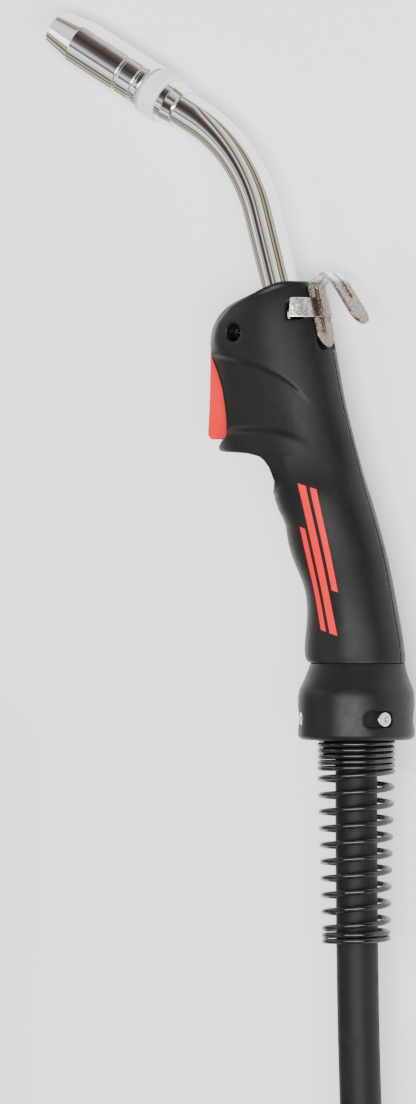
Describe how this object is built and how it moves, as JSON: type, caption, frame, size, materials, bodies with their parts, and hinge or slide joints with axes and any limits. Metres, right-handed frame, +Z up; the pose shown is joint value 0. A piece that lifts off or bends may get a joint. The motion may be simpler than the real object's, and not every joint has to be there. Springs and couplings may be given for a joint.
{
  "type": "mig welding torch",
  "caption": "MIG welding torch: chromed swan neck and gas nozzle, curved handle with trigger and hook, spring-guarded cable tied in a coil, central connector.",
  "frame": {"origin": "centre of the torch's footprint on the floor it lies on, without its cable", "axes": "+Y along the handle from the cable end to the neck, +X towards the back of the handle, +Z up off the floor"},
  "size_m": [0.2694, 0.7066, 0.049],
  "materials": {
    "handle_plastic": "fine satin mould texture, charcoal",
    "trigger_plastic": "smooth satin red",
    "chrome": "polished",
    "ceramic": "white, semi-gloss",
    "hook_steel": "grained steel with bright edges",
    "bright_steel": "zinc bright",
    "spring_steel": "gloss black",
    "brass": "machined",
    "copper": "drawn copper",
    "cable_rubber": "matt charcoal",
    "insulation": "brown moulding",
    "liner_steel": "wound steel",
    "switch_plastic": "fine satin black",
    "wire_jacket": "smooth",
    "plug_plastic": "fine satin black",
    "tie_fabric": "woven strap"
  },
  "bodies": {
    "torch": {"handle_shell_near": "handle_plastic", "handle_shell_far": "handle_plastic", "handle_screw": "bright_steel", "handle_nut": "bright_steel", "rear_collar": "handle_plastic", "collar_screws": "bright_steel", "cable_support": "handle_plastic", "bend_spring": "spring_steel", "suspension_hook": "hook_steel", "trigger_pin": "bright_steel", "switch_body": "switch_plastic", "switch_spring": "bright_steel", "switch_contacts": "brass", "control_wires": "wire_jacket", "cable_core": "copper", "cable_entry": "cable_rubber", "swan_neck_tube": "chrome", "neck_insulation": "insulation", "neck_inner_tube": "copper", "neck_liner": "liner_steel", "neck_collar": "chrome", "neck_socket": "brass", "neck_nut": "brass", "cable_ferrule": "brass", "nozzle_insulator": "ceramic", "nozzle_spring": "bright_steel", "gas_diffuser": "ceramic", "tip_holder": "brass", "contact_tip": "copper", "cable_lead": "cable_rubber", "cable_coil": "cable_rubber", "cable_tail": "cable_rubber", "coil_ties": "tie_fabric", "plug_bend_spring": "spring_steel", "plug_shell_left": "plug_plastic", "plug_shell_right": "plug_plastic", "plug_screws": "bright_steel", "plug_crimp": "brass", "plug_body": "brass", "plug_insulator": "plug_plastic", "plug_wire_pin": "brass", "plug_o_ring": "cable_rubber", "liner_nut": "brass", "control_pin_springs": "bright_steel"},
    "trigger": {"trigger_lever": "trigger_plastic"},
    "plunger": {"switch_plunger": "trigger_plastic", "contact_bridge": "copper"},
    "nozzle": {"gas_nozzle": "chrome"},
    "nut": {"plug_nut": "plug_plastic"},
    "pin_left": {"control_pin_left": "brass"},
    "pin_right": {"control_pin_right": "brass"}
  },
  "joints": [
    {"name": "trigger_press", "type": "hinge", "parent": "torch", "child": "trigger", "pos_m": [0.00612, 0.04858, 0.01877], "axis": [0, 0.0384, 0.9993], "range_deg": [0, 5], "stiffness_Nm_per_rad": 1.5, "springref_deg": -2.86},
    {"name": "switch_press", "type": "slide", "parent": "torch", "child": "plunger", "axis": [1, 0, 0], "range_m": [0, 0.0019]},
    {"name": "nozzle_pull", "type": "slide", "parent": "torch", "child": "nozzle", "axis": [-0.866, 0.4996, -0.0192], "range_m": [0, 0.05]},
    {"name": "plug_nut_spin", "type": "hinge", "parent": "torch", "child": "nut", "pos_m": [-0.1593, -0.1145, 0.0232], "axis": [0, 1, 0], "continuous": true},
    {"name": "pin_left_press", "type": "slide", "parent": "torch", "child": "pin_left", "axis": [0, -1, 0], "range_m": [0, 0.003], "stiffness_N_per_m": 800, "springref_m": -0.0005},
    {"name": "pin_right_press", "type": "slide", "parent": "torch", "child": "pin_right", "axis": [0, -1, 0], "range_m": [0, 0.003], "stiffness_N_per_m": 800, "springref_m": -0.0005}
  ],
  "couplings": [
    {"joint": "switch_press", "follows": "trigger_press", "m_per_rad": 0.0212}
  ]
}
